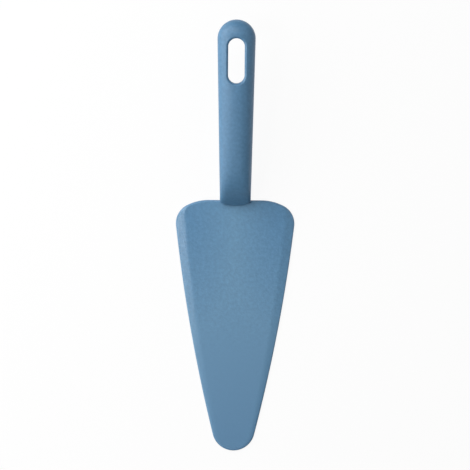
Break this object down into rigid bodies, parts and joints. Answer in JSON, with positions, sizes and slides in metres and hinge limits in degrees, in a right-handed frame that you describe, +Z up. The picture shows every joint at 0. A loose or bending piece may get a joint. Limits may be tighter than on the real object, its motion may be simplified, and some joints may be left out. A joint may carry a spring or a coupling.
{
  "type": "cake server",
  "caption": "Cake server with a flat wedge blade, bevelled along its sides, and a cranked hollow handle with a long slot for hanging.",
  "frame": {"origin": "middle of the flat underside of the blade, on the surface that the server lies on", "axes": "+Z up, square to the underside of the blade; +Y from the tip of the blade to the end of the handle; +X to the right when seen from above with the handle at the top"},
  "size_m": [0.0714, 0.2575, 0.0365],
  "materials": {
    "blade_plastic": "finely grained matt moulded plastic, dusty blue",
    "handle_plastic": "smooth satin moulded plastic, dusty blue"
  },
  "bodies": {
    "root": {"blade": "blade_plastic", "handle_upper_shell": "handle_plastic", "handle_lower_shell": "handle_plastic"}
  },
  "joints": []
}
